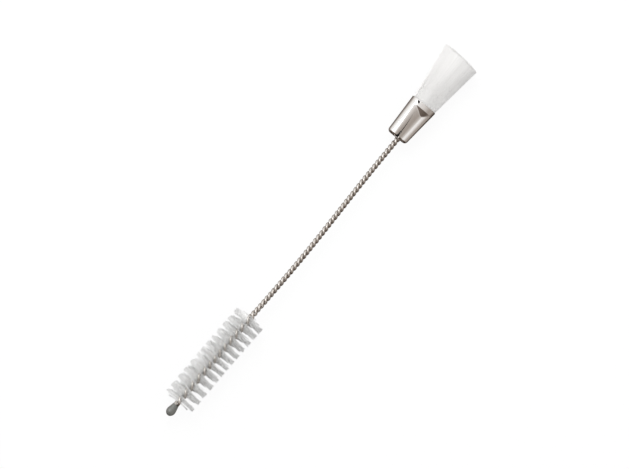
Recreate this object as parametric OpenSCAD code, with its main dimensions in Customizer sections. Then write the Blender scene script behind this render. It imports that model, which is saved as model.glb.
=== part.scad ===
/* [Wire] */

// Diameter of the steel wire
wire_d = 1.34; // [0.9:0.02:1.4]

// Length of the bare stem, from the bristles to the ferrule
stem_l = 114.5; // [70:0.5:180]

// Length of one full turn of the twist in the bare stem
stem_pitch = 4.97; // [4.4:0.01:8]

// Length of one full turn of the twist where it holds the bristles
brush_pitch = 8.7; // [7:0.1:12]

// How far the turns of the brush are drawn along from an even twist, at most
turn_drift = 2; // [0:0.1:2.5]

// Sideways bow of the stem at its deepest
stem_bow = 1.35; // [0:0.05:3]

// How far to the side of the ferrule's centre the stem enters it
stem_shift = 1.1; // [0:0.05:1.5]

/* [Spiral brush] */

// Length of the part of the twist that holds bristles
brush_l = 55.5; // [30:0.5:100]

// Diameter over the bristle tips
brush_d = 17; // [12:0.1:24]

// Angle that each row of bristles fans out over
fan_spread = 66; // [40:1:90]

// How far every second lock of bristles stands back from the ones beside it
lock_h = 0.7; // [0:0.05:1]

// Thickness of the bristle layer between the two legs of the wire
layer_t = 0.3; // [0.2:0.02:0.5]

/* [Tip bead] */

// Diameter of the bead at its widest
bead_d = 4.7; // [3.8:0.1:7]

// Length of the bead
bead_l = 6.7; // [5.5:0.1:10]

// Distance of the bead's widest place from its tip
bead_nose_l = 2.8; // [2:0.1:3.5]

// Bare wire between the bead and the first bristles
tip_bare_l = 1.9; // [1:0.1:6]

/* [Ferrule] */

// Length of the ferrule
ferrule_l = 21.3; // [16:0.1:30]

// Width of the ferrule at the wire end
neck_w = 11.4; // [9.5:0.1:14]

// Thickness of the ferrule at the wire end
neck_t = 8; // [7:0.1:11]

// Width of the ferrule at its mouth
mouth_w = 14.3; // [12:0.1:18]

// Thickness of the ferrule at its mouth
mouth_t = 11; // [9:0.1:15]

// How far the mouth is bent to one side of the wire end
mouth_shift = 0.4; // [0:0.05:1]

// Thickness of the ferrule's sheet
sheet_t = 0.35; // [0.25:0.05:0.5]

// Radius of the turned-in edge at the wire end
corner_r = 1.3; // [0.8:0.1:1.6]

// Depth of the crease pressed into the ferrule's faces
crease_h = 1.6; // [0.8:0.1:2]

// Width of the crease's long wall
crease_w = 4.2; // [3:0.1:5]

// Width of the crease's steep wall
crease_steep_w = 1.2; // [0.8:0.1:2]

// Distance of the seam from the middle of the face at the mouth
seam_shift = 3.25; // [0:0.05:4]

// Width of the seam where its edges meet
seam_w = 0.06; // [0.04:0.01:0.15]

/* [Tuft] */

// Length of the tuft beyond the ferrule
tuft_l = 30.2; // [15:0.1:50]

// Width of the tuft at its end
tuft_w = 20.5; // [15:0.1:28]

// Thickness of the tuft at its end
tuft_t = 17; // [12:0.1:24]

// Height of the rounding of the tuft's end
tuft_dome = 1; // [0:0.1:2.5]

// Difference in length between the two sides of the tuft
tuft_slant = 1.3; // [0:0.1:2.5]

// Depth of the flutes between the locks at the tuft's end
flute_h = 0.3; // [0:0.05:0.6]

/* [Rest] */

// How far the bristle tips give where the brush lies on them
rest_give = 0.5; // [0.5:0.05:0.8]

/* [Fits] */

// Clearance between the wire and what it touches
fit = 0.05; // [0.03:0.01:0.1]

// Clearance between the tuft's root and the ferrule
root_fit = 0.15; // [0.1:0.01:0.25]

/* [Hidden] */

wire_sides = 7;
wire_rings_per_turn = 7;
eye_arc_steps = 8;
tip_points = 3;
fan_rings_per_turn = 18;
section_points = 32;
crease_point = 10;
bead_arc_steps = 14;

// Places along the brush, from the end of the bead
brush_start = bead_l + tip_bare_l;
brush_end = brush_start + brush_l;
ferrule_start = brush_end + stem_l;
ferrule_end = ferrule_start + ferrule_l;
overall_l = ferrule_end + tuft_l;

// Places inside the ferrule, as shares of its length
twist_share = 0.1;
eye_open_share = 0.38;
root_share = 0.42;
eye_share = 0.5;
twist_end = ferrule_start + ferrule_l * twist_share;
eye_open = ferrule_start + ferrule_l * eye_open_share;
eye_x = ferrule_start + ferrule_l * eye_share;

// Wire: each leg runs round the stem's axis, far enough out that its straight steps clear the other leg
wire_r = wire_d / 2;
step_share = cos(180 / wire_rings_per_turn);
stem_leg_r = (wire_r + fit / 2) / step_share;
brush_leg_r = (wire_r + layer_t / 2 + 2 * fit) / step_share;
stem_r = stem_leg_r + wire_r;
bead_hold_share = 0.6;
wire_start = bead_l * (1 - bead_hold_share);
eye_w_share = 0.43;
eye_r = neck_w * eye_w_share / 2;
bow_place_share = 0.55;
bow_power = ln(0.5) / ln(bow_place_share);
bow_peak = 3;
drift_share = 0.7;

// Spiral brush: each fan is a sector from beside the wire to the bristle tips
brush_r = brush_d / 2;
fan_in_share = 1.65;
fan_in = wire_r * fan_in_share;
waist_shares = [1 / 3, -1 / 3];
fan_points = tip_points + 2;

// Ferrule: the crease lies to one side, stays clear of the wire, and ends before the mouth in a flat ramp
crease_turn = 360 * crease_point / section_points;
crease_power = 1.3;
ramp_share = 0.72;
ramp_end_share = 0.88;
crease_least_z = stem_r + sheet_t + 2 * fit;
station_shares = [0, 0.02, 0.06, 0.15, 0.28, 0.42, 0.57, 0.72, 0.77, 0.82, 0.88, 1];
slit_l_share = 0.1;
slit_w_share = 0.045;
notch_l_share = 0.065;
notch_w_share = 0.06;
seam_mid_shares = [0.4, 0.7];
seam_power = 1.5;

// Tuft: its end is drawn over these rings
tuft_end_shares = [1, 0.5];

// Rest: the brush lies on the flats of its bristle tips and of the tuft's end
rest_x = tuft_t > brush_d ? brush_start : brush_end;
rest_tilt = atan((tuft_t - brush_d) / 2 / (overall_l - tuft_dome - rest_x));

function mix(a, b, share) = a + (b - a) * share;
function limit(share) = max(0, min(1, share));
function smooth(share) = let (s = limit(share)) s * s * (3 - 2 * s);
function unit(v) = v / norm(v);

// Sideways place of the stem's axis
function axis_y(x) = let (share = limit(x / twist_end))
    -stem_bow * pow(sin(180 * pow(share, bow_power)), bow_peak) - stem_shift * share;

// How far the twist at a place is drawn along: the turns are wider near the tip and closer past the middle
function drift(x) = turn_drift * pow(sin(180 * limit((x - brush_start) / brush_l / drift_share)), 2);

// Angle of the first leg round the stem's axis: a left-hand twist that ends with the legs side by side
function leg_angle(x) = 360 * (
    max(0, brush_end - x + drift(x)) / brush_pitch + max(0, twist_end - max(x, brush_end)) / stem_pitch);

// Distance of each leg from the stem's axis
function leg_r(x) =
    x > twist_end ? mix(stem_leg_r, eye_r, smooth((x - twist_end) / (eye_open - twist_end))) :
    mix(stem_leg_r, brush_leg_r, x < brush_start ? smooth((x - bead_l) / tip_bare_l) :
        smooth((brush_end + stem_pitch - x) / stem_pitch));

function leg_point(x, side) = let (angle = leg_angle(x))
    [x, axis_y(x) + side * leg_r(x) * cos(angle), side * leg_r(x) * sin(angle)];

// Stations from one place up to, but not with, another
function stations(from, to, count) = [for (i = [0:count - 1]) mix(from, to, i / count)];
function twist_stations(from, to, pitch) =
    stations(from, to, ceil((to - from) / pitch * wire_rings_per_turn));

// Ring of points about a path, square to it
function tube_ring(centre, along, radius, sides) = let (
        t = unit(along),
        b = unit([0, 0, 1] - t[2] * t),
        n = cross(b, t))
    [for (i = [0:sides - 1]) let (angle = 360 * i / sides)
        centre + radius * (cos(angle) * n + sin(angle) * b)];

// Half of the bristle section: a blunt fan to one side of the wire, standing back all round by a step, and the
// layer between the wire's legs
function fan_outline(back) = let (
        tip_r = brush_r - back,
        half_turn = fan_spread / 2 - asin(back / brush_r))
    concat(
        [[fan_in, -layer_t / 2]],
        [for (i = [0:tip_points - 1]) let (angle = half_turn * (2 * i / (tip_points - 1) - 1))
            [tip_r * cos(angle), tip_r * sin(angle)]],
        [[fan_in, layer_t / 2]],
        [for (share = waist_shares) [fan_in * share, layer_t / 2]]);
fan_faces = let (half = fan_points + len(waist_shares), last = 2 * half - 1) [
    [for (i = [0:fan_points - 1]) i],
    [for (i = [0:fan_points - 1]) half + i],
    [0, fan_points - 1, fan_points, last],
    [last, fan_points, fan_points + 1, last - 1],
    [last - 1, fan_points + 1, half, half + fan_points - 1]];
function turned(p, turn) = [p[0] * cos(turn) - p[1] * sin(turn), p[0] * sin(turn) + p[1] * cos(turn)];

// Height of a bristle tip above the axis, no lower than the flat that the tips under the brush give
function pressed(z, tip_r) = max(z, rest_give - tip_r);

// Ferrule section: an oval with a crease pressed into both faces, drawn in by an inset
function ferrule_y(share) = -mouth_shift * share;
function corner_inset(along, radius) =
    along >= radius ? 0 : radius - sqrt(radius * radius - pow(radius - max(0, along), 2));
function ramp_left(share) = limit((ramp_end_share - share) / (ramp_end_share - ramp_share));
function crease_left(y) = pow(max(0, 1 - abs(y) / (y > 0 ? crease_w : crease_steep_w)), crease_power);
function ferrule_section(share, inset) = let (
        corner = corner_inset(share * ferrule_l - inset, corner_r - inset),
        half_w = mix(neck_w, mouth_w, share) / 2 - corner - inset,
        half_t = mix(neck_t, mouth_t, share) / 2 - corner - inset,
        depth = max(0, min(crease_h, half_t + inset - crease_least_z)),
        crease_y = half_w * cos(crease_turn))
    [for (i = [0:section_points - 1]) let (
            angle = 360 * i / section_points,
            y = half_w * cos(angle),
            z = half_t * sin(angle))
        [ferrule_start + share * ferrule_l, ferrule_y(share) + y,
            z - sign(z) * min(abs(z), depth * min(ramp_left(share), crease_left(y - crease_y)))]];

// Two convex parts of such a section, on either side of its creases
section_halves = [
    [for (i = [-crease_point:crease_point]) (i + section_points) % section_points],
    [for (i = [crease_point:section_points - crease_point]) i]];

// Ring on the tuft's domed and slanted end, at a share of the way out to its fluted edge
function tuft_end(share) = [for (i = [0:section_points - 1]) let (
        angle = 360 * i / section_points,
        flute = i % 2 * flute_h,
        y = share * (tuft_w / 2 - flute) * cos(angle),
        z = share * (tuft_t / 2 - flute) * sin(angle))
    [overall_l - tuft_dome * share * share + tuft_slant * y / tuft_w, y, pressed(z, tuft_t / 2)]];

// Solid skinned over rings of equally many points, each ring turning the right-hand way along the path.
// An end is given as convex faces, each a list of places in the ring.
module skin(rings, end_faces) {
    count = len(rings[0]);
    last = len(rings) - 1;
    sides = [for (k = [0:last - 1], i = [0:count - 1]) let (
            j = (i + 1) % count,
            a = k * count,
            b = a + count)
        each [[a + i, b + i, b + j], [a + i, b + j, a + j]]];
    last_end = [for (face = end_faces) [for (i = [len(face) - 1:-1:0]) last * count + face[i]]];
    polyhedron([for (ring = rings) each ring], concat(sides, end_faces, last_end), convexity = 10);
}

// Lays the brush down on the ground, with its middle at the origin
module laid_down() {
    translate([rest_x - overall_l / 2, 0, (brush_r - rest_give) * cos(rest_tilt)])
        rotate([0, -rest_tilt, 0])
            translate([-rest_x, 0, 0])
                children();
}

module stem_wire() {
    places = concat(
        twist_stations(wire_start, bead_l, brush_pitch),
        twist_stations(bead_l, brush_start, brush_pitch),
        twist_stations(brush_start, brush_end, brush_pitch),
        twist_stations(brush_end, twist_end, stem_pitch),
        stations(twist_end, eye_open, eye_arc_steps),
        [eye_open]);
    last_place = len(places) - 1;
    eye = [for (i = [0:eye_arc_steps]) let (angle = 180 * i / eye_arc_steps)
        [eye_x + eye_r * sin(angle), axis_y(eye_x) + eye_r * cos(angle), 0]];
    path = concat(
        [for (x = places) leg_point(x, 1)],
        eye,
        [for (i = [last_place:-1:0]) leg_point(places[i], -1)]);
    last = len(path) - 1;
    color("silver")
        laid_down()
            skin(
                [for (i = [0:last])
                    tube_ring(path[i], path[min(i + 1, last)] - path[max(i - 1, 0)], wire_r, wire_sides)],
                [[for (i = [0:wire_sides - 1]) i]]);
}

module spiral_bristles() {
    rings = ceil(brush_l / brush_pitch * fan_rings_per_turn);
    color("white")
        laid_down()
            skin(
                [for (k = [0:rings]) let (
                        x = mix(brush_start, brush_end, k / rings),
                        turn = leg_angle(x) + 90,
                        outline = fan_outline(k % 2 * lock_h))
                    [for (side = [0, 180], point = outline) let (p = turned(point, turn + side))
                        [x, axis_y(x) + p[0], pressed(p[1], brush_r)]]],
                fan_faces);
}

module tip_bead() {
    bead_r = bead_d / 2;
    bead_neck_r = stem_r + 2 * fit;
    cone_l = (bead_l - bead_nose_l) * bead_r / bead_nose_l;
    cone_turn = asin(bead_r / norm([bead_neck_r, cone_l])) - atan(bead_neck_r / cone_l);
    arc = [for (i = [0:bead_arc_steps]) let (angle = mix(-90, cone_turn, i / bead_arc_steps))
        [bead_r * cos(angle), bead_nose_l * (1 + sin(angle))]];
    color("dimgray")
        laid_down()
            translate([0, axis_y(wire_start), 0])
                rotate([0, 90, 0])
                    difference() {
                        rotate_extrude()
                            polygon(concat(arc, [[bead_neck_r, bead_l], [0, bead_l]]));
                        translate([0, 0, wire_start - wire_r])
                            cylinder(h = bead_l, r = stem_r + fit);
                    }
}

// Slit between the sheet's edges, open at the wire end and as a notch at the mouth
function seam_y(share) = ferrule_y(share) + seam_shift * pow(max(0, share), seam_power);

module seam_cut() {
    shares = concat([-slit_l_share, slit_l_share], seam_mid_shares, [1 - notch_l_share, 1 + notch_l_share]);
    slit_w = neck_w * slit_w_share;
    notch_w = mouth_w * notch_w_share;
    widths = [2 * slit_w, seam_w, seam_w, seam_w, seam_w, 2 * notch_w];
    places = [for (i = [0:len(shares) - 1]) let (share = shares[i])
        [ferrule_start + share * ferrule_l, seam_y(share), widths[i] / 2]];
    last = len(places) - 1;
    linear_extrude(mouth_t)
        polygon(concat(
            [for (p = places) [p[0], p[1] - p[2]]],
            [for (i = [last:-1:0]) [places[i][0], places[i][1] + places[i][2]]]));
}

module ferrule() {
    inner_shares = concat([sheet_t / ferrule_l],
        [for (i = [2:len(station_shares) - 1]) station_shares[i]],
        [1 + sheet_t / ferrule_l]);
    color("gainsboro")
        laid_down()
            difference() {
                skin([for (share = station_shares) ferrule_section(share, 0)], section_halves);
                skin([for (share = inner_shares) ferrule_section(share, sheet_t)], section_halves);
                translate([ferrule_start - sheet_t, axis_y(ferrule_start), 0])
                    rotate([0, 90, 0])
                        cylinder(h = 3 * sheet_t, r = stem_r + fit);
                seam_cut();
            }
}

// Outline of the room that the wire's eye takes, widened or narrowed from the wire's centre line
module eye_outline(radius) {
    circle(r = radius);
    translate([-ferrule_l, -radius])
        square([ferrule_l, 2 * radius]);
}

module tuft() {
    root_shares = [for (share = station_shares) if (share >= root_share) share];
    color("whitesmoke")
        laid_down()
            difference() {
                skin(
                    concat(
                        [for (share = root_shares) ferrule_section(share, sheet_t + root_fit)],
                        [for (share = tuft_end_shares) tuft_end(share)]),
                    section_halves);
                translate([eye_x, axis_y(eye_x), 0])
                    linear_extrude(wire_d + 4 * fit, center = true)
                        difference() {
                            eye_outline(eye_r + wire_r + 2 * fit);
                            eye_outline(eye_r - wire_r - 2 * fit);
                        }
            }
}

stem_wire();
spiral_bristles();
tip_bead();
ferrule();
tuft();
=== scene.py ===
"""Looks of a double-ended bottle brush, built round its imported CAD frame.

Lengths are in metres and places are in the frame of the CAD model: X runs from the spiral brush
to the tuft, Y goes across, Z goes up, and the brush lies on Z = 0.
"""

import math

import bpy
import numpy as np
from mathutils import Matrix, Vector


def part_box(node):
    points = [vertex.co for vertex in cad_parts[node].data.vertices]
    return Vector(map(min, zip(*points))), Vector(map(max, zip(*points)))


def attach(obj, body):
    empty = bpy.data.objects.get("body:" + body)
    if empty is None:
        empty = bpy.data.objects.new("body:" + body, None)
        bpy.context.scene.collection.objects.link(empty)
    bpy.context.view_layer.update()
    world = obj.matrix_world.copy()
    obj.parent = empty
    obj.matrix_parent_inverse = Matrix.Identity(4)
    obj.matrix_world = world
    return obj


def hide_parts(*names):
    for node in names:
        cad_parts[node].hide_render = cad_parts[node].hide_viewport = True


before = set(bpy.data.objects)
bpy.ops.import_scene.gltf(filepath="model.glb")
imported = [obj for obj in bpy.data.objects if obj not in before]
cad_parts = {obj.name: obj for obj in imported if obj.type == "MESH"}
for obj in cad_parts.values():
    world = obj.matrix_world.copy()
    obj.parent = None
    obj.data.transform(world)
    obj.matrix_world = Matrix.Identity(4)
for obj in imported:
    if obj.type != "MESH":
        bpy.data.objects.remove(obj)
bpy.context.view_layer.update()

MM = 0.001
TAU = 2 * math.pi
X_AXIS = np.array([1, 0, 0])
Z_AXIS = np.array([0, 0, 1])
SEED = 11

# Places along the brush, from the frame
BEAD_LOW, BEAD_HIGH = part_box("tip_bead")
SPIRAL_LOW, SPIRAL_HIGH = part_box("spiral_bristles")
FERRULE_LOW, FERRULE_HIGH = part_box("ferrule")
TUFT_LOW, TUFT_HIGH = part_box("tuft")
TIP_X = BEAD_LOW.x
BEAD_END = BEAD_HIGH.x
BEAD_L = BEAD_END - TIP_X
BRUSH_START = SPIRAL_LOW.x
BRUSH_END = SPIRAL_HIGH.x
BRUSH_L = BRUSH_END - BRUSH_START
FERRULE_START = FERRULE_LOW.x
FERRULE_END = FERRULE_HIGH.x
FERRULE_L = FERRULE_END - FERRULE_START
TUFT_END = TUFT_HIGH.x
TUFT_L = TUFT_END - FERRULE_END
AXIS_Z = (FERRULE_LOW.z + FERRULE_HIGH.z) / 2

# Wire: two legs twisted round the stem's axis, which bows sideways, and an eye in the ferrule
WIRE_R = 0.7 * MM
STEM_LEG_R = 0.735 * MM
BRUSH_LEG_R = 0.95 * MM
STEM_R = STEM_LEG_R + WIRE_R
STEM_PITCH = 4.97 * MM
BRUSH_PITCH = 8.7 * MM
TURN_DRIFT = 2 * MM
DRIFT_SHARE = 0.7
STEM_BOW = 1.35 * MM
STEM_SHIFT = 1.1 * MM
BOW_PLACE_SHARE = 0.55
BOW_POWER = math.log(0.5) / math.log(BOW_PLACE_SHARE)
BOW_PEAK = 3
TWIST_END_SHARE = 0.1
EYE_OPEN_SHARE = 0.38
EYE_SHARE = 0.5
TWIST_END = FERRULE_START + TWIST_END_SHARE * FERRULE_L
EYE_OPEN = FERRULE_START + EYE_OPEN_SHARE * FERRULE_L
EYE_X = FERRULE_START + EYE_SHARE * FERRULE_L
EYE_R = 2.45 * MM
WIRE_SIDES = 14
WIRE_STEP = 0.22 * MM
EYE_STEPS = 24

# Spiral brush: locks of bristles that fan out from the wire, and a few strays by the bead
BRUSH_R = SPIRAL_HIGH.z - AXIS_Z
BRISTLE_R = 0.07 * MM
BRISTLES = 3600
BRISTLE_SIDES = 4
BRISTLE_SHARES = np.array([0, 0.3, 0.65, 1])
BRISTLE_CURL = 0.2 * MM
BRISTLE_TURN = math.radians(4)
BRISTLE_LEAN = math.radians(1)
TRIM_JITTER = 0.06 * MM
LOCKS = 500
LOCK_SPREAD_X = 0.12 * MM
LOCK_TURN = math.radians(34)
LOCK_LEAN = math.radians(5.5)
STRAYS = 8
STRAY_L = 0.7 * MM
STRAY_STEP = BRISTLE_R
STRAY_TURN = math.radians(3)
STRAY_LEAN = math.radians(-6)
STRAY_REACH_SHARE = 0.7
FAN_START = BRUSH_START + STRAY_L
# Bristles that point up or down fan out less, and lean less, than those that lie level
RISING_FAN_SHARE = 0.45
RISING_LEAN_SHARE = 0.4
# Tones, from dark at 0 to pale at 1: bristles in the same streak share most of theirs, and painted
# shade darkens each bristle towards its two tips
STREAKS = 120
STREAK_SHARE = 0.7
TONE_SPREAD = 0.25
ROOT_TONE = 0.85
# Painted shade: the tone each bristle falls to at its tips, and how close to the tips it falls
TIP_SHADE_TONE = 0.1
TIP_SHADE_POWER = 4

# Tip bead
BEAD_R = (BEAD_HIGH.z - BEAD_LOW.z) / 2
BEAD_NOSE_L = 2.8 * MM
BEAD_NOSE_FLAT_R = 0.02 * BEAD_R
BEAD_NECK_WALL = 0.1 * MM
BEAD_NECK_R = STEM_R + BEAD_NECK_WALL
BORE_GAP = 0.03 * MM
BORE_R = STEM_R + BORE_GAP
BORE_SHARE = 0.6
BORE_FLOOR_X = BEAD_END - BORE_SHARE * BEAD_L
BORE_FLOOR_R = 0.1 * BORE_R
BEAD_SIDES = 56
BEAD_STEPS = 28

# Ferrule: an oval tube of sheet, with a crease in both faces that ends in a ramp near the mouth
MOUTH_W = FERRULE_HIGH.y - FERRULE_LOW.y
MOUTH_T = FERRULE_HIGH.z - FERRULE_LOW.z
MOUTH_Y = (FERRULE_HIGH.y + FERRULE_LOW.y) / 2
NECK_W = 11.4 * MM
NECK_T = 8 * MM
SHEET_T = 0.35 * MM
SHEET_EDGE_TURN = math.radians(60)
RIM_R = SHEET_T / 2
SECTION_POWER = 2.5
CORNER_R = 1.6 * MM
HOLE_GAP = 0.05 * MM
HOLE_R = STEM_R + HOLE_GAP
CREASE_H = 1.6 * MM
CREASE_NECK_W = 3.2 * MM
CREASE_MOUTH_W = 6.6 * MM
CREASE_STEEP_W = 3.2 * MM
CREASE_R = 0.8 * MM
CREASE_TURN = math.radians(112.5)
CREASE_POWER = 1.3
RAMP_SHARE = 0.72
RAMP_END_SHARE = 0.88
RAMP_EASE = 0.13
SEAM_SHIFT = 3.15 * MM
SEAM_POWER = 2.3
# Half of the gap in the seam over the ferrule's length: open at both ends, and a slit behind the wire
SEAM_SHARES = [0, 0.05, 0.07, 0.17, 0.2, 0.4, 0.66, 0.925, 0.94, 1]
SEAM_GAPS = np.array([1.2, 0.9, 0.45, 0.42, 0.18, 0.14, 0.01, 0.01, 0.55, 0.75]) * MM
NOTCH_START_SHARE = 0.93
NOTCH_W = 1 * MM
NOTCH_H = 0.2 * MM
FERRULE_COLUMNS = 240
FERRULE_ROWS = 90
CORNER_ROWS = 10
END_ROWS = 6
RIM_ROWS = 4

# Tuft: filaments glued in the mouth of the ferrule round a heart that fills it
TUFT_W = TUFT_HIGH.y - TUFT_LOW.y
TUFT_T = 17 * MM
TUFT_DOME = 0.8 * MM
TUFT_SLANT = 1.3 * MM
TUFT_PROUD = 0.2 * MM
TUFT_ROOT_SHARE = 0.9
TUFT_ROOT = FERRULE_START + TUFT_ROOT_SHARE * FERRULE_L
# Painted shade keeps the filaments near black inside the ferrule, up to this depth below the mouth
BLACK_SHADE_DEPTH = 0.3 * MM
BLACK_SHADE_END_X = FERRULE_END - BLACK_SHADE_DEPTH
HELD_PLACES = [TUFT_ROOT, BLACK_SHADE_END_X, FERRULE_END]
FILAMENT_R = 0.068 * MM
FILAMENTS = 7000
FILAMENT_SPREAD = 0.008
FILAMENT_TRIM = 0.05 * MM
GOLDEN_TURN = math.pi * (3 - math.sqrt(5))
CLUMP_Y = 4.9 * MM
CLUMP_W = 0.35 * MM
CLUMP_H = 0.4 * MM
CORE_DEPTH = 0.3 * MM
CORE_END_DEPTH = 0.9 * MM
CORE_SIDES = 128
CORE_REACHES = [1, 0.7, 0.4, 0.02]
# Tones at the held places and at the trimmed end, where 0 is near-black painted shade: painted shade
# on the roots inside the ferrule, which shows through the notch, and a lighter painted shade at the
# mouth
# Painted shade: the filaments are darker at the mouth than at their trimmed end
MOUTH_SHADE_TONE = 0.6
TUFT_SHADE_TONES = np.array([0, 0, MOUTH_SHADE_TONE, 1])
FILAMENT_TONE = 0.8
# Tone up to which the colour fades from the near-black painted shade
BLACK_SHADE_STOP = 0.1

# Materials: the darkest and palest colour of each, and its finish
WHITE = (1, 1, 1, 1)
WIRE_COLOURS = [(0.63, 0.595, 0.56, 1), (0.81, 0.785, 0.755, 1)]
WIRE_ROUGHNESS = 0.27
WIRE_RELIEF = 0.2
SPIRAL_COLOURS = [(0.73, 0.73, 0.725, 1), (0.99, 0.99, 0.985, 1)]
BEAD_COLOURS = [(0.11, 0.114, 0.104, 1), (0.155, 0.16, 0.147, 1)]
BEAD_ROUGHNESS = 0.4
BEAD_SPECULAR = 0.6
BEAD_COAT_ROUGHNESS = 0.28
BEAD_RELIEF = 0.2
FERRULE_COLOURS = [(0.79, 0.775, 0.76, 1), (0.83, 0.82, 0.81, 1)]
FERRULE_ROUGHNESS = 0.14
FERRULE_RELIEF = 0.01
TUFT_COLOURS = [(0.74, 0.733, 0.724, 1), (0.95, 0.943, 0.934, 1)]
# Near-black painted shade on the tuft's roots inside the ferrule, seen through the notch
BLACK_SHADE_COLOUR = (0.02, 0.018, 0.016, 1)
NYLON_ROUGHNESS = 0.4
ROUGHNESS_SPREAD = 0.3
SCRATCH_SCALE = (400, 4000, 4000)
SCRATCH_DETAIL = 4
GRAIN_SCALE = 2500
GRAIN_DETAIL = 3
NOISE_LOW = 0.3
NOISE_HIGH = 0.7
RELIEF_H = 0.02 * MM

# Camera, from the photograph
IMAGE_W = 629
PIXEL = 0.4966 * MM
PHOTO_TURN = math.radians(50.54)
CAMERA_DISTANCE = 1.25
SENSOR_W = 36
CENTRE_RIGHT = -0.31 * PIXEL
CENTRE_UP = 1.68 * PIXEL

# Light: white bristles pass it on to each other many times
BRISTLE_BOUNCES = 24
FILL = 0.79
LAMP_DISTANCE = 1.2
KEY_DIRECTION = (0.4, 0.45, 0.8)
KEY_SIZE = 0.7
KEY_ENERGY = 7.3
WINDOW_DIRECTION = (-0.25, 0.6, 0.76)
WINDOW_SIZE = 0.6
WINDOW_ENERGY = 2.6
FLOOR_HALF = 3
FLOOR_COLOUR = (0.95, 0.95, 0.95, 1)
FLOOR_ROUGHNESS = 0.9
FLOOR_GLOW = 0.92

# Room that the metal mirrors, with its tones over places from -1 to 1 across, along and up it
ROOM_R = 2.5
ROOM_SEGMENTS = 48
ROOM_RINGS = 24
ROOM_GLOW = 1.12
ROOM_ACROSS = [
    (-1, (0.44, 0.4, 0.37)),
    (-0.85, (0.41, 0.37, 0.34)),
    (-0.68, (0.37, 0.325, 0.29)),
    (-0.45, (0.47, 0.43, 0.4)),
    (-0.2, (0.62, 0.58, 0.55)),
    (0, (0.74, 0.71, 0.69)),
    (0.3, (0.92, 0.91, 0.9)),
    (0.5, (1, 1, 1)),
]
ROOM_ALONG = [
    (-1, (0.17, 0.14, 0.12)),
    (-0.72, (0.22, 0.185, 0.16)),
    (-0.5, (1, 1, 1)),
]
ROOM_UP = [
    (-1, (0.12, 0.1, 0.09)),
    (-0.5, (0.24, 0.21, 0.19)),
    (-0.2, (0.5, 0.46, 0.43)),
    (0, (0.72, 0.69, 0.66)),
    (0.25, (0.88, 0.86, 0.84)),
    (0.5, (1, 1, 1)),
]


def limit(share):
    """Share kept between 0 and 1."""
    return np.clip(share, 0, 1)


def smooth(share):
    """Eased step from 0 to 1."""
    s = limit(share)
    return s * s * (3 - 2 * s)


def mix(a, b, share):
    """Value at a share of the way from one to another."""
    return a + (b - a) * share


def soft_min(a, b, ease):
    """Lesser of two values, with the corner between them eased."""
    share = limit(0.5 + (b - a) / ease / 2)
    return mix(b, a, share) - ease * share * (1 - share)


def unit(vectors):
    """Vectors at a length of 1."""
    return vectors / np.linalg.norm(vectors, axis=-1, keepdims=True)


def above_ground(points, height):
    """Points, raised where they are lower than a height."""
    return np.concatenate([points[..., :2], np.maximum(points[..., 2:], height)], axis=-1)


def axis_y(x):
    """Sideways place of the stem's axis."""
    share = limit((x - TIP_X) / (TWIST_END - TIP_X))
    return -STEM_BOW * np.sin(math.pi * share**BOW_POWER) ** BOW_PEAK - STEM_SHIFT * share


def drift(x):
    """How far the twist at a place is drawn along from an even one."""
    share = limit((x - BRUSH_START) / BRUSH_L / DRIFT_SHARE)
    return TURN_DRIFT * np.sin(math.pi * share) ** 2


def leg_angle(x):
    """Angle of the first leg of the wire round the stem's axis."""
    brush_turns = np.maximum(0, BRUSH_END - x + drift(x)) / BRUSH_PITCH
    stem_turns = np.maximum(0, TWIST_END - np.maximum(x, BRUSH_END)) / STEM_PITCH
    return TAU * (brush_turns + stem_turns)


def leg_radius(x):
    """Distance of each leg from the stem's axis."""
    opening = smooth((x - TWIST_END) / (EYE_OPEN - TWIST_END))
    before = smooth((x - BEAD_END) / (BRUSH_START - BEAD_END))
    after = smooth((BRUSH_END + STEM_PITCH - x) / STEM_PITCH)
    twisted = mix(STEM_LEG_R, BRUSH_LEG_R, np.minimum(before, after))
    return np.where(x > TWIST_END, mix(STEM_LEG_R, EYE_R, opening), twisted)


def leg_path(x, side):
    """Path of one leg of the wire, where the two sides are 1 and -1."""
    angle = leg_angle(x)
    reach = side * leg_radius(x)
    y = axis_y(x) + reach * np.cos(angle)
    z = AXIS_Z + reach * np.sin(angle)
    return np.stack([x, y, z], axis=-1)


def grid_faces(rows, columns, wrap_rows, wrap_columns):
    """Quads of a grid of points, closed round either way if asked."""
    row = np.arange(rows if wrap_rows else rows - 1)[:, None]
    column = np.arange(columns if wrap_columns else columns - 1)[None, :]
    next_row = (row + 1) % rows
    next_column = (column + 1) % columns
    corners = [
        row * columns + column,
        row * columns + next_column,
        next_row * columns + next_column,
        next_row * columns + column,
    ]
    return np.stack(corners, axis=-1).reshape(-1, 4)


def end_faces(rows, columns):
    """Faces that close the first and last row of a grid of points."""
    row = np.arange(columns)
    return np.stack([row[::-1], (rows - 1) * columns + row])


def tubes(paths, radius, sides, reference):
    """Points, side faces and end faces of a closed tube along each path."""
    count, steps = paths.shape[:2]
    along = unit(np.gradient(paths, axis=1))
    across = unit(np.cross(along, reference))
    third = np.cross(along, across)
    angles = TAU * np.arange(sides)[:, None] / sides
    ring = np.cos(angles) * across[:, :, None] + np.sin(angles) * third[:, :, None]
    points = paths[:, :, None] + radius * ring
    firsts = (np.arange(count) * steps * sides)[:, None, None]
    side_faces = firsts + grid_faces(steps, sides, False, True)
    ends = firsts + end_faces(steps, sides)
    return points.reshape(-1, 3), side_faces.reshape(-1, 4), ends.reshape(-1, sides)


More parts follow.
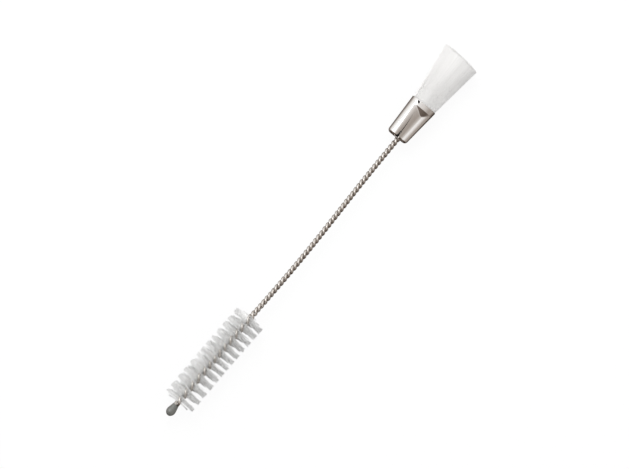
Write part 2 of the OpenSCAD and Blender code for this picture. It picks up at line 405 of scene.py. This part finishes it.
def new_piece(name, node, material, points, smooth_faces, flat_faces):
    """Mesh piece that rides on the brush and stands for a CAD node."""
    mesh = bpy.data.meshes.new(name)
    mesh.from_pydata(points.tolist(), [], smooth_faces + flat_faces)
    is_smooth = [True] * len(smooth_faces) + [False] * len(flat_faces)
    mesh.polygons.foreach_set("use_smooth", is_smooth)
    mesh.materials.append(material)
    piece = bpy.data.objects.new(name, mesh)
    bpy.context.scene.collection.objects.link(piece)
    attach(piece, "root")
    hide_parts(node)
    return piece


def set_tone_and_shade(piece, tones):
    """Gives the points of a piece of bristles their tones, random tone and painted shade together,
    for its material.
    """
    tone = piece.data.attributes.new("tone", "FLOAT", "POINT")
    tone.data.foreach_set("value", tones)


def build_wire(material):
    """One length of wire: up one leg, round the eye and back down the other leg."""
    legs = np.arange(BORE_FLOOR_X, EYE_OPEN, WIRE_STEP)
    turn = math.pi * np.arange(EYE_STEPS + 1) / EYE_STEPS
    eye_x = EYE_X + EYE_R * np.sin(turn)
    eye_y = axis_y(EYE_X) + EYE_R * np.cos(turn)
    eye = np.stack([eye_x, eye_y, np.full_like(turn, AXIS_Z)], axis=-1)
    path = np.concatenate([leg_path(legs, 1), eye, leg_path(legs[::-1], -1)])
    points, sides, ends = tubes(path[None], WIRE_R, WIRE_SIDES, Z_AXIS)
    new_piece(
        "twisted_wire", "stem_wire", material,
        points, sides.tolist(), ends.tolist())


def spiral_places(rng):
    """Place along the wire where each bristle is caught, and the number of its lock."""
    lock = np.arange(BRISTLES) % LOCKS
    lock_share = (np.arange(LOCKS) + rng.uniform(0, 1, LOCKS)) / LOCKS
    lock_x = mix(FAN_START, BRUSH_END, lock_share)
    x = lock_x[lock] + rng.normal(0, LOCK_SPREAD_X, BRISTLES)
    x = np.clip(x, FAN_START, BRUSH_END)
    x[:STRAYS] = BRUSH_START + STRAY_STEP * np.arange(STRAYS)
    return x, lock


def bristle_paths(x, turn, lean, reach, curl):
    """Paths out from the stem's axis to the tips, turned round the axis and leant along it."""
    zero = np.zeros_like(x)
    out = np.stack([zero, np.cos(turn), np.sin(turn)], axis=-1)
    aside = np.stack([zero, -np.sin(turn), np.cos(turn)], axis=-1)
    root = np.stack([x, axis_y(x), np.full_like(x, AXIS_Z)], axis=-1)
    radial = reach[:, None] * BRISTLE_SHARES
    bend = curl[:, None] * BRISTLE_SHARES**2
    paths = root[:, None] + radial[..., None] * out[:, None] + bend[..., None] * aside[:, None]
    paths[..., 0] += radial * np.tan(lean)[:, None]
    return paths


def spiral_half(rng, side, x, lock):
    """Paths of the half of each bristle on one side of the wire, where the sides are 0 and 1."""
    lock_turn = rng.uniform(-LOCK_TURN, LOCK_TURN, LOCKS)
    lock_lean = rng.uniform(-LOCK_LEAN, LOCK_LEAN, LOCKS)
    middle = leg_angle(x) + math.pi * (side + 0.5)
    fan = mix(1, RISING_FAN_SHARE, np.sin(middle) ** 2)
    turn = middle + fan * lock_turn[lock] + rng.normal(0, BRISTLE_TURN, BRISTLES)
    lean = lock_lean[lock] + rng.normal(0, BRISTLE_LEAN, BRISTLES)
    lean *= mix(1, RISING_LEAN_SHARE, np.sin(turn) ** 2)
    least_lean = np.arctan((FAN_START - x) / BRUSH_R)
    most_lean = np.arctan((BRUSH_END - x) / BRUSH_R)
    lean = np.clip(lean, least_lean, most_lean)
    reach = BRUSH_R - np.abs(rng.normal(0, TRIM_JITTER, BRISTLES))
    turn[:STRAYS] = math.pi * side + rng.uniform(-STRAY_TURN, STRAY_TURN, STRAYS)
    lean[:STRAYS] = STRAY_LEAN
    reach[:STRAYS] *= STRAY_REACH_SHARE
    curl = rng.normal(0, BRISTLE_CURL, BRISTLES)
    return bristle_paths(x, turn, lean, reach, curl)


def settled(paths):
    """Paths of bristles, bent aside where they would reach into the ground."""
    x, y, z = np.moveaxis(paths, -1, 0)
    depth = np.maximum(0, BRISTLE_R - z)
    side = np.sign(y - axis_y(x))
    return np.stack([x, y + side * depth, z + depth], axis=-1)


def spiral_tones_and_tip_shade(rng, x):
    """Tones along each bristle: a random streak tone, with painted shade that darkens it towards its
    two tips.
    """
    streak = (limit((x - BRUSH_START) / BRUSH_L) * (STREAKS - 1)).astype(int)
    own = rng.uniform(0, 1, BRISTLES)
    tone = mix(own, rng.uniform(0, 1, STREAKS)[streak], STREAK_SHARE)
    out = np.concatenate([BRISTLE_SHARES[:0:-1], BRISTLE_SHARES])
    # Painted shade: the tone falls from the root's to the tip's towards both tips
    return TONE_SPREAD * tone[:, None] + mix(ROOT_TONE, TIP_SHADE_TONE, out**TIP_SHADE_POWER)


def build_spiral(material):
    """Bristles caught between the two legs of the wire, fanning out in a double spiral."""
    rng = np.random.default_rng(SEED)
    x, lock = spiral_places(rng)
    first = spiral_half(rng, 0, x, lock)
    second = spiral_half(rng, 1, x, lock)
    paths = settled(np.concatenate([first[:, :0:-1], second], axis=1))
    points, sides, ends = tubes(paths, BRISTLE_R, BRISTLE_SIDES, X_AXIS)
    piece = new_piece(
        "spiral_of_bristles", "spiral_bristles", material,
        points, sides.tolist(), ends.tolist())
    set_tone_and_shade(piece, np.repeat(spiral_tones_and_tip_shade(rng, x), BRISTLE_SIDES))


def bead_profile():
    """Places along the bead and its radius there: a nose, a cone to the neck and a blind bore."""
    cone_l = (BEAD_L - BEAD_NOSE_L) * BEAD_R / BEAD_NOSE_L
    tangent_turn = math.asin(BEAD_R / math.hypot(BEAD_NECK_R, cone_l))
    cone_turn = tangent_turn - math.atan2(BEAD_NECK_R, cone_l)
    arc = np.linspace(-math.pi / 2, cone_turn, BEAD_STEPS)
    nose = np.stack([TIP_X + BEAD_NOSE_L * (1 + np.sin(arc)), BEAD_R * np.cos(arc)], axis=-1)
    nose[0, 1] = BEAD_NOSE_FLAT_R
    cone = np.linspace(nose[-1], [BEAD_END, BEAD_NECK_R], BEAD_STEPS)[1:]
    bore = [[BEAD_END, BORE_R], [BORE_FLOOR_X, BORE_R], [BORE_FLOOR_X, BORE_FLOOR_R]]
    return np.concatenate([nose, cone, bore])


def build_bead(material):
    """Round bead over the cut ends of the wire."""
    profile = bead_profile()
    rows = len(profile)
    angles = TAU * np.arange(BEAD_SIDES) / BEAD_SIDES
    x = np.broadcast_to(profile[:, :1], (rows, BEAD_SIDES))
    y = axis_y(TIP_X) + profile[:, 1:] * np.cos(angles)
    z = AXIS_Z + profile[:, 1:] * np.sin(angles)
    points = np.stack([x, y, z], axis=-1).reshape(-1, 3)
    faces = grid_faces(rows, BEAD_SIDES, False, True)
    ends = end_faces(rows, BEAD_SIDES)
    new_piece(
        "moulded_bead", "tip_bead", material,
        points, faces.tolist(), ends.tolist())


def corner_inset(along, radius):
    """How far the turned-in edge at the wire end draws the ferrule's section in."""
    depth = np.clip(radius - along, 0, radius)
    return radius - math.sqrt(radius**2 - depth**2)


def rounded(part):
    """Sine or cosine of the section's angle, for a section squarer than an ellipse."""
    return np.sign(part) * np.abs(part) ** (2 / SECTION_POWER)


def section_angle(y_share):
    """Angle of the section's upper point at a share of half its width."""
    return math.acos(math.copysign(abs(y_share) ** (SECTION_POWER / 2), y_share))


def crease_left(share, across):
    """How much of the crease's depth is left at a distance to one side of its deepest line."""
    distance = np.sqrt(across**2 + CREASE_R**2) - CREASE_R
    width = np.where(across > 0, mix(CREASE_NECK_W, CREASE_MOUTH_W, share), CREASE_STEEP_W)
    return np.maximum(0, 1 - distance / width) ** CREASE_POWER


def ferrule_row(share, inset):
    """Section of the rolled sheet round from edge to edge of its seam, drawn in by an inset."""
    corner = corner_inset(share * FERRULE_L - inset, CORNER_R - inset)
    half_w = mix(NECK_W, MOUTH_W, share) / 2 - corner - inset
    half_t = mix(NECK_T, MOUTH_T, share) / 2 - corner - inset
    seam_y = SEAM_SHIFT * share**SEAM_POWER
    gap = np.interp(share, SEAM_SHARES, SEAM_GAPS)
    first = section_angle((seam_y + gap) / half_w)
    last = section_angle((seam_y - gap) / half_w) - TAU
    angle = np.linspace(first, last, FERRULE_COLUMNS)
    y = half_w * rounded(np.cos(angle))
    z = half_t * rounded(np.sin(angle))
    ramp_left = limit((RAMP_END_SHARE - share) / (RAMP_END_SHARE - RAMP_SHARE))
    crease = crease_left(share, y - half_w * math.cos(CREASE_TURN))
    dent = CREASE_H * np.maximum(0, soft_min(crease, ramp_left, RAMP_EASE))
    notch_along = smooth((share - NOTCH_START_SHARE) / (1 - NOTCH_START_SHARE))
    notch = notch_along * smooth(1 - np.abs(y - seam_y) / NOTCH_W)
    dent += np.where(z > 0, NOTCH_H * notch, 0)
    z -= np.sign(z) * np.minimum(np.abs(z), dent)
    return angle, MOUTH_Y * share + y, z


def ferrule_end(inset):
    """Rows of the end wall at an inset, from its hole for the wire out to its corner."""
    angle, end_y, end_z = ferrule_row(inset / FERRULE_L, inset)
    hole_y = axis_y(FERRULE_START) + HOLE_R * np.cos(angle)
    hole_z = HOLE_R * np.sin(angle)
    x = np.full_like(angle, FERRULE_START + inset)
    rows = []
    for share in np.arange(END_ROWS) / END_ROWS:
        y = mix(hole_y, end_y, share)
        z = mix(hole_z, end_z, share)
        rows.append(np.stack([x, y, AXIS_Z + z], axis=-1))
    return rows


def ferrule_wall(inset):
    """Rows of the ferrule's wall at an inset, from the hole for the wire to the top of the rim."""
    corner_turns = np.linspace(0, math.pi / 2, CORNER_ROWS, endpoint=False)
    corner_shares = (inset + (CORNER_R - inset) * (1 - np.cos(corner_turns))) / FERRULE_L
    rim_start = 1 - RIM_R / FERRULE_L
    wall_shares = np.linspace(CORNER_R / FERRULE_L, rim_start, FERRULE_ROWS)
    wall_insets = np.full(CORNER_ROWS + FERRULE_ROWS, inset)
    rim_turns = math.pi / 2 * (np.arange(RIM_ROWS) + 0.5) / RIM_ROWS
    rim_shares = rim_start + RIM_R / FERRULE_L * np.sin(rim_turns)
    rim_insets = mix(RIM_R, inset, np.cos(rim_turns))
    shares = np.concatenate([corner_shares, wall_shares, rim_shares])
    insets = np.concatenate([wall_insets, rim_insets])
    rows = ferrule_end(inset)
    for share, row_inset in zip(shares, insets):
        _, y, z = ferrule_row(share, row_inset)
        x = np.full_like(y, FERRULE_START + share * FERRULE_L)
        rows.append(np.stack([x, y, AXIS_Z + z], axis=-1))
    return rows


def build_ferrule(material):
    """Ferrule rolled from one sheet: its outside, rim and inside, and the edges of its seam."""
    rows = np.array(ferrule_wall(0) + ferrule_wall(SHEET_T)[::-1])
    row_count, columns = rows.shape[:2]
    faces = grid_faces(row_count, columns, True, False)[:, ::-1]
    row = np.arange(row_count // 2 - 1)
    opposite = row_count - 1 - row
    edge = np.stack([row, opposite, opposite - 1, row + 1], axis=-1) * columns
    edges = np.concatenate([edge, edge[:, ::-1] + columns - 1])
    piece = new_piece(
        "rolled_ferrule", "ferrule", material,
        rows.reshape(-1, 3), faces.tolist(), edges.tolist())
    piece.data.set_sharp_from_angle(angle=SHEET_EDGE_TURN)


def tuft_end(across):
    """Trimmed end of the tuft over places across it, where 1 is its outside."""
    reach = np.linalg.norm(across, axis=-1)
    return TUFT_END + TUFT_PROUD - TUFT_DOME * reach**2 + TUFT_SLANT * across[..., 0] / 2


def tuft_points(x, across, half):
    """Points at places across the tuft, for half of its width and thickness there."""
    middle = MOUTH_Y * limit((TUFT_END - x) / TUFT_L)
    y = middle + half[0] * across[..., 0]
    z = AXIS_Z + half[1] * across[..., 1]
    return np.stack([x, y, z], axis=-1)


def tuft_halves(inset):
    """Half of the tuft's width and thickness in the mouth and at its end, drawn in by an inset."""
    mouth = np.array([MOUTH_W, MOUTH_T]) / 2 - SHEET_T - inset
    end = np.array([TUFT_W, TUFT_T]) / 2 - inset
    return mouth, end


def filament_paths(rng):
    """Paths of the filaments, spread evenly over the mouth and flaring to the trimmed end."""
    place = np.arange(FILAMENTS) + 0.5
    reach = np.sqrt(place / FILAMENTS)
    turn = place * GOLDEN_TURN
    across = np.stack([reach * np.cos(turn), reach * np.sin(turn)], axis=-1)
    mouth_half, end_half = tuft_halves(FILAMENT_R)
    spread = across + rng.normal(0, FILAMENT_SPREAD, across.shape)
    end_x = tuft_end(spread) - np.abs(rng.normal(0, FILAMENT_TRIM, FILAMENTS))
    end_x += CLUMP_H * smooth(1 - np.abs(end_half[0] * spread[:, 0] - CLUMP_Y) / CLUMP_W)
    steps = [tuft_points(np.full(FILAMENTS, x), across, mouth_half) for x in HELD_PLACES]
    steps.append(tuft_points(end_x, spread, end_half))
    return above_ground(np.stack(steps, axis=1), FILAMENT_R)


def core_rows():
    """Rows of points of the heart of the tuft, too deep for its filaments to be seen singly."""
    angles = TAU * np.arange(CORE_SIDES) / CORE_SIDES
    ring = np.stack([np.cos(angles), np.sin(angles)], axis=-1)
    mouth_half, end_half = tuft_halves(CORE_DEPTH)
    rows = [tuft_points(np.full(CORE_SIDES, x), ring, mouth_half) for x in HELD_PLACES]
    for reach in CORE_REACHES:
        end_x = tuft_end(reach * ring) - CORE_END_DEPTH
        rows.append(tuft_points(end_x, reach * ring, end_half))
    return above_ground(np.array(rows), CORE_DEPTH)


def build_tuft(material):
    """Straight filaments and the heart behind them, glued in the ferrule's mouth."""
    rng = np.random.default_rng(SEED + 1)
    points, sides, ends = tubes(filament_paths(rng), FILAMENT_R, BRISTLE_SIDES, Z_AXIS)
    core = core_rows()
    rows = len(core)
    core_sides = len(points) + grid_faces(rows, CORE_SIDES, False, True)
    core_ends = len(points) + end_faces(rows, CORE_SIDES)
    piece = new_piece(
        "flared_tuft", "tuft", material,
        np.concatenate([points, core.reshape(-1, 3)]),
        sides.tolist() + core_sides.tolist(),
        ends.tolist() + core_ends.tolist())
    # Painted shade along each filament, near black on its roots and darker at the mouth than at its
    # end, times its own random tone
    tones = TUFT_SHADE_TONES * rng.uniform(FILAMENT_TONE, 1, FILAMENTS)[:, None]
    core_tones = np.concatenate([TUFT_SHADE_TONES, np.ones(rows - len(TUFT_SHADE_TONES))])
    filament_tones = np.repeat(tones, BRISTLE_SIDES)
    set_tone_and_shade(piece, np.concatenate([filament_tones, np.repeat(core_tones, CORE_SIDES)]))


def set_inputs(node, **values):
    """Sets a node's inputs by name, with _ for each space."""
    for name, value in values.items():
        node.inputs[name.replace("_", " ")].default_value = value


def add_node(nodes, kind, **values):
    """New node with values for its inputs."""
    node = nodes.new(kind)
    set_inputs(node, **values)
    return node


def add_ramp(nodes, links, value, stops):
    """Colour over a value, blended between stops of a position and a colour."""
    ramp = nodes.new("ShaderNodeValToRGB")
    elements = ramp.color_ramp.elements
    while len(elements) < len(stops):
        elements.new(1)
    for element, (position, colour) in zip(elements, stops):
        element.position = position
        element.color = colour
    links.new(value, ramp.inputs["Fac"])
    return ramp.outputs["Color"]


def add_noise_ramp(nodes, links, noise, low, high):
    """Colour that varies between two with a noise."""
    return add_ramp(nodes, links, noise.outputs["Fac"], [(NOISE_LOW, low), (NOISE_HIGH, high)])


def new_material(name):
    """Material with its nodes and links."""
    material = bpy.data.materials.new(name)
    material.use_nodes = True
    return material, material.node_tree.nodes, material.node_tree.links


def grey(value):
    """Colour without a hue."""
    return (value, value, value, 1)


def nylon(name, low, high):
    """Pale filaments, each of its own tone, with near-black painted shade where the tone is nothing.
    """
    material, nodes, links = new_material(name)
    shader = nodes["Principled BSDF"]
    tone = nodes.new("ShaderNodeAttribute")
    tone.attribute_name = "tone"
    # Painted shade: near black at a tone of 0, fading to the low colour at the stop
    stops = [(0, BLACK_SHADE_COLOUR), (BLACK_SHADE_STOP, low), (1, high)]
    links.new(add_ramp(nodes, links, tone.outputs["Fac"], stops), shader.inputs["Base Color"])
    set_inputs(shader, Roughness=NYLON_ROUGHNESS)
    return material


def metal(name, low, high, roughness, relief):
    """Drawn or rolled metal with fine scratches along it."""
    material, nodes, links = new_material(name)
    shader = nodes["Principled BSDF"]
    place = nodes.new("ShaderNodeTexCoord")
    mapping = add_node(nodes, "ShaderNodeMapping", Scale=SCRATCH_SCALE)
    noise = add_node(nodes, "ShaderNodeTexNoise", Scale=1, Detail=SCRATCH_DETAIL)
    bump = add_node(nodes, "ShaderNodeBump", Strength=relief, Distance=RELIEF_H)
    links.new(place.outputs["Object"], mapping.inputs["Vector"])
    links.new(mapping.outputs["Vector"], noise.inputs["Vector"])
    links.new(noise.outputs["Fac"], bump.inputs["Height"])
    colour = add_noise_ramp(nodes, links, noise, low, high)
    smoothest = grey(roughness * (1 - ROUGHNESS_SPREAD))
    roughest = grey(roughness * (1 + ROUGHNESS_SPREAD))
    finish = add_noise_ramp(nodes, links, noise, smoothest, roughest)
    links.new(colour, shader.inputs["Base Color"])
    links.new(finish, shader.inputs["Roughness"])
    links.new(bump.outputs["Normal"], shader.inputs["Normal"])
    set_inputs(shader, Metallic=1)
    return material


def plastic(name, low, high):
    """Dark plastic with a fine grain under a soft gloss."""
    material, nodes, links = new_material(name)
    shader = nodes["Principled BSDF"]
    place = nodes.new("ShaderNodeTexCoord")
    noise = add_node(nodes, "ShaderNodeTexNoise", Scale=GRAIN_SCALE, Detail=GRAIN_DETAIL)
    bump = add_node(nodes, "ShaderNodeBump", Strength=BEAD_RELIEF, Distance=RELIEF_H)
    links.new(place.outputs["Object"], noise.inputs["Vector"])
    links.new(noise.outputs["Fac"], bump.inputs["Height"])
    colour = add_noise_ramp(nodes, links, noise, low, high)
    links.new(colour, shader.inputs["Base Color"])
    links.new(bump.outputs["Normal"], shader.inputs["Normal"])
    set_inputs(shader, Roughness=BEAD_ROUGHNESS, Specular_IOR_Level=BEAD_SPECULAR)
    set_inputs(shader, Coat_Weight=1, Coat_Roughness=BEAD_COAT_ROUGHNESS)
    return material


def add_camera():
    """Camera that looks straight down on the brush, which lies at a slant in the photograph."""
    data = bpy.data.cameras.new("camera")
    data.sensor_width = SENSOR_W
    data.lens = SENSOR_W * CAMERA_DISTANCE / (IMAGE_W * PIXEL)
    camera = bpy.data.objects.new("camera", data)
    right = Vector((math.cos(PHOTO_TURN), -math.sin(PHOTO_TURN), 0))
    up = Vector((math.sin(PHOTO_TURN), math.cos(PHOTO_TURN), 0))
    height = Vector((0, 0, AXIS_Z + CAMERA_DISTANCE))
    camera.location = right * CENTRE_RIGHT + up * CENTRE_UP + height
    camera.rotation_euler = (0, 0, -PHOTO_TURN)
    bpy.context.scene.collection.objects.link(camera)
    bpy.context.scene.camera = camera


def add_greater(nodes, links, first, second):
    """Greater of two values."""
    greater = nodes.new("ShaderNodeMath")
    greater.operation = "MAXIMUM"
    links.new(first, greater.inputs[0])
    links.new(second, greater.inputs[1])
    return greater.outputs["Value"]


def add_seen(nodes, links):
    """1 for what the camera sees, also in a mirror or through glass, and 0 for other light."""
    path = nodes.new("ShaderNodeLightPath")
    camera = path.outputs["Is Camera Ray"]
    mirrored = add_greater(nodes, links, camera, path.outputs["Is Glossy Ray"])
    return add_greater(nodes, links, mirrored, path.outputs["Is Transmission Ray"])


def add_choice(nodes, links, share, first, second):
    """Shader between two, where a share of 0 is the first and 1 the second."""
    choice = nodes.new("ShaderNodeMixShader")
    links.new(share, choice.inputs["Fac"])
    links.new(first, choice.inputs[1])
    links.new(second, choice.inputs[2])
    return choice.outputs["Shader"]


def add_world():
    """Even light from all round, which is white where it is seen."""
    world = bpy.data.worlds.new("studio")
    world.use_nodes = True
    nodes = world.node_tree.nodes
    links = world.node_tree.links
    fill = nodes["Background"]
    set_inputs(fill, Color=WHITE, Strength=FILL)
    white = add_node(nodes, "ShaderNodeBackground", Color=WHITE, Strength=1)
    surface = add_choice(
        nodes, links, add_seen(nodes, links),
        fill.outputs["Background"], white.outputs["Background"])
    links.new(surface, nodes["World Output"].inputs["Surface"])
    bpy.context.scene.world = world


def add_lamp(name, direction, size, energy):
    """Square lamp that faces the brush from a direction."""
    data = bpy.data.lights.new(name, "AREA")
    data.size = size
    data.energy = energy
    lamp = bpy.data.objects.new(name, data)
    towards = Vector(direction).normalized()
    lamp.location = towards * LAMP_DISTANCE
    lamp.rotation_euler = towards.to_track_quat("Z", "Y").to_euler()
    bpy.context.scene.collection.objects.link(lamp)
    return lamp


def add_lamps():
    """Soft key from the photograph's top, and a window that only mirrored light sees."""
    key = add_lamp("key", KEY_DIRECTION, KEY_SIZE, KEY_ENERGY)
    key.visible_glossy = False
    window = add_lamp("window", WINDOW_DIRECTION, WINDOW_SIZE, WINDOW_ENERGY)
    window.visible_diffuse = False


def floor_material():
    """Pale floor that mostly glows white to the camera, so that only a faint shadow shows."""
    material, nodes, links = new_material("white_floor")
    shader = nodes["Principled BSDF"]
    set_inputs(shader, Base_Color=FLOOR_COLOUR, Roughness=FLOOR_ROUGHNESS, Specular_IOR_Level=0)
    glow = add_node(nodes, "ShaderNodeEmission", Color=WHITE, Strength=1)
    share = nodes.new("ShaderNodeMath")
    share.operation = "MULTIPLY"
    share.inputs[1].default_value = FLOOR_GLOW
    links.new(add_seen(nodes, links), share.inputs[0])
    surface = add_choice(
        nodes, links, share.outputs["Value"], shader.outputs["BSDF"], glow.outputs["Emission"])
    links.new(surface, nodes["Material Output"].inputs["Surface"])
    return material


def add_floor():
    """Floor under the brush, which the metal mirrors as part of the room instead."""
    corners = [(-1, -1), (1, -1), (1, 1), (-1, 1)]
    points = [(FLOOR_HALF * x, FLOOR_HALF * y, 0) for x, y in corners]
    mesh = bpy.data.meshes.new("floor")
    mesh.from_pydata(points, [], [(0, 1, 2, 3)])
    mesh.materials.append(floor_material())
    floor = bpy.data.objects.new("floor", mesh)
    bpy.context.scene.collection.objects.link(floor)
    floor.visible_glossy = False


def add_room_tone(nodes, links, place, tones):
    """Tone of the room over one coordinate of a place in it."""
    span = add_node(nodes, "ShaderNodeMapRange", From_Min=-ROOM_R, From_Max=ROOM_R)
    links.new(place, span.inputs["Value"])
    stops = [((position + 1) / 2, colour + (1,)) for position, colour in tones]
    return add_ramp(nodes, links, span.outputs["Result"], stops)


def add_product(nodes, links, first, second):
    """Product of two colours."""
    product = add_node(nodes, "ShaderNodeMixRGB", Fac=1)
    product.blend_type = "MULTIPLY"
    links.new(first, product.inputs["Color1"])
    links.new(second, product.inputs["Color2"])
    return product.outputs["Color"]


def room_material():
    """Surroundings that the metal mirrors: a white tent to one side and above, brown elsewhere."""
    material, nodes, links = new_material("room")
    place = nodes.new("ShaderNodeTexCoord")
    split = nodes.new("ShaderNodeSeparateXYZ")
    links.new(place.outputs["Object"], split.inputs["Vector"])
    across = add_room_tone(nodes, links, split.outputs["Y"], ROOM_ACROSS)
    along = add_room_tone(nodes, links, split.outputs["X"], ROOM_ALONG)
    up = add_room_tone(nodes, links, split.outputs["Z"], ROOM_UP)
    tone = add_product(nodes, links, add_product(nodes, links, across, along), up)
    glow = add_node(nodes, "ShaderNodeEmission", Strength=ROOM_GLOW)
    links.new(tone, glow.inputs["Color"])
    links.new(glow.outputs["Emission"], nodes["Material Output"].inputs["Surface"])
    return material


def add_room():
    """Large ball round the scene that only mirrored light reaches."""
    bpy.ops.mesh.primitive_uv_sphere_add(
        radius=ROOM_R, segments=ROOM_SEGMENTS, ring_count=ROOM_RINGS)
    room = bpy.context.object
    room.name = "room"
    room.data.materials.append(room_material())
    room.visible_camera = False
    room.visible_diffuse = False
    room.visible_transmission = False
    room.visible_shadow = False


def build_brush():
    """The five pieces of the brush, each of its own material."""
    build_wire(metal("wire_steel", *WIRE_COLOURS, WIRE_ROUGHNESS, WIRE_RELIEF))
    build_spiral(nylon("spiral_nylon", *SPIRAL_COLOURS))
    build_bead(plastic("bead_plastic", *BEAD_COLOURS))
    build_ferrule(metal("ferrule_nickel", *FERRULE_COLOURS, FERRULE_ROUGHNESS, FERRULE_RELIEF))
    build_tuft(nylon("tuft_nylon", *TUFT_COLOURS))


def main():
    """Builds the scene."""
    bpy.context.scene.view_settings.view_transform = "Standard"
    bpy.context.scene.cycles.diffuse_bounces = BRISTLE_BOUNCES
    bpy.context.scene.cycles.max_bounces = BRISTLE_BOUNCES
    add_camera()
    add_world()
    add_lamps()
    add_floor()
    add_room()
    build_brush()


main()
